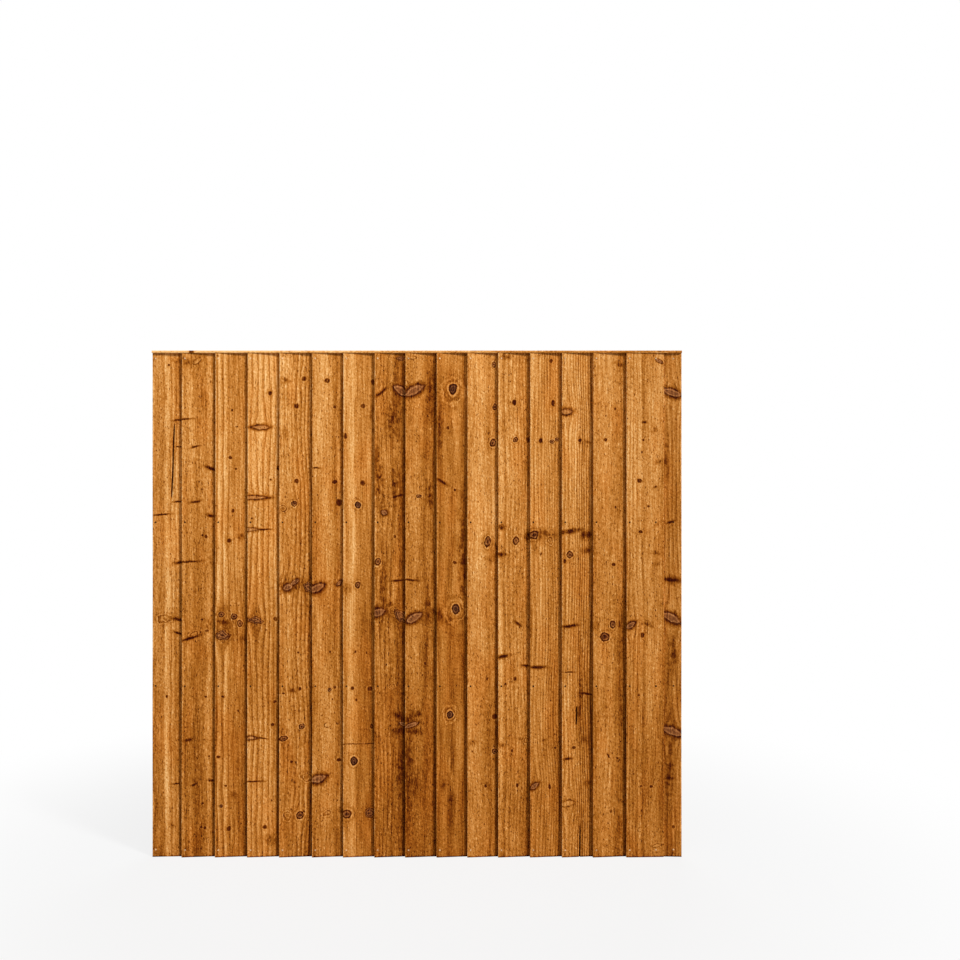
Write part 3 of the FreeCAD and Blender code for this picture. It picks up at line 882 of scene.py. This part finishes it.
    def paint(self, light, heart):
        colour, branch = (
            self.ramp(light, [(place, linear(shade), 1.0) for place, shade in scale])[0]
            for scale in (TIMBER_SCALE, KNOT_SCALE)
        )
        if heart is not None:
            colour = self.mix(heart, colour, branch)
        redder = self.between(self.noises["blush"], *REDDER)
        colour = self.mix(redder, colour, REDDENING, "MULTIPLY")
        dull = self.between(self.noises["streak"], *ROUGH)
        self.put(self.surface, {"Base Color": colour, "Roughness": dull, "Specular IOR Level": SPECULAR})

    def roughen(self, late, raised):
        """Bump from pores and saw marks, with late wood sunk and knots proud."""
        height = self.math("MULTIPLY", late, LATE_BUMP)
        for label, amount in BUMPS:
            height = self.math("MULTIPLY_ADD", self.noises[label], amount, height)
        if raised is not None:
            height = self.math("MULTIPLY_ADD", raised, KNOT_BUMP, height)
        bump = self.add("Bump", {"Strength": BUMP_STRENGTH, "Distance": MM, "Height": height})
        self.put(self.surface, {"Normal": bump.outputs[0]})


def wood(name, board, seed, reveal=None):
    """The material of one stick; reveal is how much of a board shows before the next one laps it."""
    shader = TimberShader(name, board, seed)
    light, late = shader.ringed(reveal)
    light, heart, raised = shader.knotted(light)
    shader.paint(shader.fibred(light), heart)
    shader.roughen(late, raised)
    return shader.owner


# The noise that mottles wire and its step, and how rough bright and rusted wire are.
MOTTLE_NOISE, MOTTLE_STEP = ((900, 900, 900), 3.0), (0.35, 0.65)
WIRE_ROUGH, WIRE_ROUGH_RANGE, WIRE_METALLIC = (0.42, 0.8), 0.15, 0.05
# Bright and rusted wire, each as two display colours that it is mottled with; the rusted ones are also the
# painted shade on the darkest nails.
ZINC = ((222, 168, 112), (252, 214, 166))
RUST_AND_SHADE = ((36, 18, 8), (66, 36, 16))


def galvanised(name):
    """Zinc-dipped wire, dull, mottled and tinted by the stain, rust-brown where it has tarnished and where
    it is painted dark as shade.
    """
    shader = Shader(bpy.data.materials.new(name))
    place = shader.add("TexCoord", {}).outputs["Object"]
    mottle = shader.noise(place, *MOTTLE_NOISE)
    patches = shader.between(mottle, *MOTTLE_STEP)
    tarnish_and_shade = shader.attribute("tarnish_and_shade")
    zinc, rust_and_shade = (shader.mix(patches, *map(linear, pair)) for pair in (ZINC, RUST_AND_SHADE))
    dull = shader.between(tarnish_and_shade, 0.0, 1.0, *WIRE_ROUGH)
    shader.put(shader.surface, {
        "Base Color": shader.mix(tarnish_and_shade, zinc, rust_and_shade),
        "Metallic": shader.between(tarnish_and_shade, 0.0, 1.0, WIRE_METALLIC, 0.0),
        "Roughness": shader.math("MULTIPLY_ADD", mottle, WIRE_ROUGH_RANGE, dull),
        "Specular IOR Level": SPECULAR,
    })
    return shader.owner


# Boards and closing strip

STRIP_SEED = 17


def section_of(node):
    """The four corners of an upright board's foot, in millimetres, from the front of its left edge round."""
    co = np.array([v.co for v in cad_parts[node].data.vertices]) / MM
    foot = np.unique(np.round(co[co[:, 2] < co[:, 2].min() + 0.01][:, :2], 3), axis=0)
    ordered = foot[np.argsort(foot[:, 0])]
    first_pair, last_pair = ordered[:2], ordered[-2:]
    front_left, back_left = first_pair[np.argsort(first_pair[:, 1])]
    front_right, back_right = last_pair[np.argsort(last_pair[:, 1])]
    return [front_left, front_right, back_right, back_left]


def make_boards():
    """Every board and the strip; gives the corners of each board, and those of the strip."""
    span = (0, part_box("capping")[0].z / MM)
    faces = []
    for number, board in enumerate(BOARDS, start=1):
        node = f"feather_board_{number:02d}"
        corners = section_of(node)
        pitches = (COLUMN_PITCH, THIN_EDGE_PITCH, BACK_PITCH, THICK_EDGE_PITCH)
        section = Section(corners, pitches, (ARRIS,) * 4, board.splits)
        reveal = None
        if number < len(BOARDS):
            follower = f"feather_board_{number + 1:02d}"
            reveal = (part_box(follower)[0].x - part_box(node)[0].x) / MM
        make_timber(
            f"sawn_board_{number:02d}", node, "board_timber", section, span, ALONG_Z,
            board, number, f"board_wood_{number:02d}", reveal,
        )
        faces.append(corners)
    corners = section_of("closing_strip")
    pitches = (COLUMN_PITCH, THICK_EDGE_PITCH, BACK_PITCH, THIN_EDGE_PITCH)
    section = Section(corners, pitches, (ARRIS,) * 4)
    make_timber(
        "sawn_strip", "closing_strip", "board_timber", section, span, ALONG_Z,
        STRIP, STRIP_SEED, "strip_wood",
    )
    return faces, corners


# Frame and capping

STILES = ("left_stile", "right_stile")
RAILS = ("bottom_rail", "lower_rail", "upper_rail", "top_rail")
FRAME_SEED, FRAME_KNOT_SEED = 20, 40
CAP_SEED, CAP_KNOT_SEED = 30, 60
KNOT_SPACING, KNOT_END_CLEARANCE, KNOT_EDGE_CLEARANCE = 150, 40, 3
STICK_KNOTS = ("pin", "eye", "eye", "smudge", "leaf")
# What a plain stick is drawn from: a knot's half sizes and tilt, then tones, their line, rings and pith.
KNOT_WIDTHS, KNOT_HEIGHTS, KNOT_TILTS = (3, 9), (4, 9), (-25, 25)
STICK_TONES, STICK_MEETS, STICK_RINGS = (0.5, 0.58), (10, 30), (5, 8)
PITH_PLACES, PITH_DEPTHS = (-60, 60), (30, 90)
STICK_PITCHES, STICK_ARRIS = (8.0,) * 4, (1.2,) * 4
CAP_PITCHES, CAP_ARRIS = (9.0, 3.0, 9.0, 3.0), (0.5, 0.5, 2.0, 2.0)
CAP_GRAIN_WIDTH = 50


def random_stick(seed, length, width):
    """A plain batten's looks, with a few knots."""
    rng = np.random.default_rng(seed)
    knots = [
        (
            STICK_KNOTS[rng.integers(len(STICK_KNOTS))], rng.uniform(KNOT_EDGE_CLEARANCE, width),
            rng.uniform(KNOT_END_CLEARANCE, length - KNOT_END_CLEARANCE),
            rng.uniform(*KNOT_WIDTHS), rng.uniform(*KNOT_HEIGHTS), rng.uniform(*KNOT_TILTS),
        )
        for _ in range(round(length / KNOT_SPACING))
    ]
    stick = Board(
        (rng.uniform(*STICK_TONES), rng.uniform(*STICK_TONES)), rng.uniform(*STICK_MEETS),
        rng.uniform(*STICK_RINGS), (0.5, 0.5), (rng.uniform(*PITH_PLACES), rng.uniform(*PITH_DEPTHS)),
    )
    # Plain sticks take no painted shade at their foot.
    stick.knots, stick.foot_shade = knots, 0.0
    return stick


def make_frame():
    for number, node in enumerate(STILES + RAILS, start=1):
        axes = ALONG_Z if node in STILES else ALONG_X
        low, high = (np.array(corner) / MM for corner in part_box(node))
        a, b, length = axes
        corners = [(high[a], high[b]), (low[a], high[b]), (low[a], low[b]), (high[a], low[b])]
        if axes == ALONG_X:
            corners = corners[3:] + corners[:3]
        width = np.linalg.norm(np.subtract(*corners[:2]))
        board = random_stick(FRAME_KNOT_SEED + number, high[length] - low[length], width)
        make_timber(
            f"sawn_{node}", node, "frame_timber", Section(corners, STICK_PITCHES, STICK_ARRIS),
            (low[length], high[length]), axes, board, FRAME_SEED + number, f"frame_wood_{node}",
            uneven=0,
        )


def make_capping():
    """The capping, palest at its left end and darker towards its right."""
    low, high = (np.array(corner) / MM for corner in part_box("capping"))
    corners = [(low[1], low[2]), (high[1], low[2]), (high[1], high[2]), (low[1], high[2])]
    board = random_stick(CAP_KNOT_SEED, high[0] - low[0], CAP_GRAIN_WIDTH)
    board.tones, board.rings, board.ends = (0.7, 0.66), (0.3, 0.3), (0.1, -0.2)
    make_timber(
        "planed_capping", "capping", "capping_timber", Section(corners, CAP_PITCHES, CAP_ARRIS),
        (low[0], high[0]), ALONG_X, board, CAP_SEED, "capping_wood", uneven=0,
    )


# Nails

NAIL_INSET = 11.0
TAIL_NAIL_INSET = 28.0
NAIL_SIDES = 16
NAIL_SEED = 71
# Nails in these rows, counted from 0 at the foot, are painted fully dark as shade; the others are dulled by
# tarnish by up to this share.
SHADED_NAIL_ROWS = (1, 2)
MOST_DULLED = 0.45
# A nail's outline from its tip back to the crown of its head: radius, and height above the board's face.
NAIL_OUTLINE = (
    (0.1, -40), (1.35, -36), (1.35, 0), (2.9, 0.0), (3.0, 0.3), (2.8, 0.72), (1.7, 0.96), (0.05, 1.0),
)


def nail_columns(faces, strip_face):
    """Each upright row of nails: the two front corners of its board, and its place between them."""
    columns = [(corners[0], corners[1], NAIL_INSET) for corners in faces]
    for start, end, *_ in (faces[-1], strip_face):
        columns.append((start, end, np.linalg.norm(end - start) - TAIL_NAIL_INSET))
    return columns


def make_nails(faces, strip_face):
    rails = [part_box(node) for node in RAILS]
    heights = [(low.z + high.z) / 2 / MM for low, high in rails]
    turns = np.arange(NAIL_SIDES) * 2 * math.pi / NAIL_SIDES
    nail_faces = tube_faces(len(NAIL_OUTLINE), NAIL_SIDES)
    rng = np.random.default_rng(NAIL_SEED)
    up = np.array([0, 0, 1.0])
    vertices, faces_made, tarnish_and_shade = [], [], []
    for start, end, inset in nail_columns(faces, strip_face):
        way = np.append((end - start) / np.linalg.norm(end - start), 0)
        out = np.array([way[1], -way[0], 0])
        for row, height in enumerate(heights):
            centre = np.append(start, height) + way * inset
            # The shaded rows are painted fully dark as shade; the others take some tarnish.
            darkening = 1.0 if row in SHADED_NAIL_ROWS else rng.uniform(0, MOST_DULLED)
            base = len(vertices)
            faces_made += [[base + corner for corner in face] for face in nail_faces]
            for radius, stand in NAIL_OUTLINE:
                middle = centre + out * stand
                vertices += [middle + radius * (math.cos(a) * way + math.sin(a) * up) for a in turns]
                tarnish_and_shade += [darkening] * NAIL_SIDES
    mesh = bpy.data.meshes.new("round_nails")
    mesh.from_pydata([tuple(v * MM) for v in vertices], [], faces_made)
    mesh.attributes.new("tarnish_and_shade", "FLOAT", "POINT").data.foreach_set("value", tarnish_and_shade)
    smooth(mesh)
    steel = galvanised("galvanised_nails")
    mesh.materials.append(steel)
    add_piece("round_nails", mesh, "nail_steel", "board_nails")
    for node in ("frame_brads", "capping_brads"):
        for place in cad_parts[node].material_slots:
            place.material = steel


# Stage, light and camera

FLOOR_REACH = 16.0
FLOOR_SIDES = 64
FLOOR_DROP = 0.5
FLOOR_GREY = (0.6, 0.6, 0.6, 1)
WHITE = (1, 1, 1, 1)
WORLD_FILL = 0.2
# How much of the floor is plain white to look at: from and to which distance, and the shares there.
FLOOR_WHITE = (0.9, 2.4, 0.82, 1.0)


def make_floor():
    """A round white floor that keeps the panel's shadow."""
    turns = [2 * math.pi * i / FLOOR_SIDES for i in range(FLOOR_SIDES)]
    rim = [(FLOOR_REACH * math.cos(a), FLOOR_REACH * math.sin(a), 0) for a in turns]
    mesh = bpy.data.meshes.new("floor")
    mesh.from_pydata(rim, [], [tuple(range(FLOOR_SIDES))])
    floor = bpy.data.objects.new("floor", mesh)
    floor.location.z = -FLOOR_DROP * MM
    bpy.context.scene.collection.objects.link(floor)
    shader = Shader(bpy.data.materials.new("floor_white"))
    shader.put(shader.surface, {"Base Color": FLOOR_GREY, "Roughness": 0.9, "Specular IOR Level": 0.0})
    glow = shader.add("Emission", {"Strength": 1.0})
    place = shader.add("TexCoord", {}).outputs["Object"]
    far = shader.between(shader.vector("LENGTH", place, output="Value"), *FLOOR_WHITE)
    share = shader.math("MULTIPLY", shader.in_view(), far)
    shader.mix_surface(share, shader.surface, glow, "Material Output")
    mesh.materials.append(shader.owner)


def make_world():
    """A white surround to look at, and a weaker one to light the panel."""
    shader = Shader(bpy.data.worlds.new("studio"))
    bpy.context.scene.world = shader.owner
    fill = shader.nodes["Background"]
    shader.put(fill, {"Color": WHITE, "Strength": WORLD_FILL})
    white = shader.add("Background", {"Color": WHITE, "Strength": 1.0})
    shader.mix_surface(shader.in_view(), fill, white, "World Output")


def add_light(name, kind, energy, location, target, **settings):
    light = bpy.data.lights.new(name, kind)
    light.energy = energy
    for key, value in settings.items():
        setattr(light, key, value)
    lamp = bpy.data.objects.new(name, light)
    lamp.location = location
    lamp.rotation_euler = (Vector(target) - Vector(location)).to_track_quat("-Z", "Y").to_euler()
    bpy.context.scene.collection.objects.link(lamp)


def make_lights():
    soft = {"shape": "RECTANGLE", "size": 2.6}
    add_light("key", "SUN", 3.0, (3.0, -2.4, 3.2), (0, 0, 0.9), angle=math.radians(10))
    add_light("top_soft", "AREA", 26, (-0.4, -1.9, 3.3), (-0.1, 0, 1.2), size_y=0.9, **soft)
    add_light("back_soft", "AREA", 60, (0.6, 3.2, 2.6), (0, 0, 0.9), size_y=1.6, **soft)


# The panel sits low and left in the picture, so the view is centred above and right of its middle.
VIEW_WIDTH = 3.312
VIEW_CENTRE = (0.218, 1.303)
VIEW_DISTANCE = 3.4
SENSOR = 36.0


def make_camera():
    data = bpy.data.cameras.new("camera")
    data.sensor_width = SENSOR
    data.lens = SENSOR * VIEW_DISTANCE / VIEW_WIDTH
    camera = bpy.data.objects.new("camera", data)
    camera.location = (VIEW_CENTRE[0], CAD_BOX[0].y - VIEW_DISTANCE, VIEW_CENTRE[1])
    camera.rotation_euler = (math.pi / 2, 0, 0)
    bpy.context.scene.collection.objects.link(camera)
    bpy.context.scene.camera = camera


board_faces, strip_corners = make_boards()
make_frame()
make_capping()
make_nails(board_faces, strip_corners)
make_floor()
make_world()
make_lights()
make_camera()
bpy.context.scene.view_settings.view_transform = "Standard"
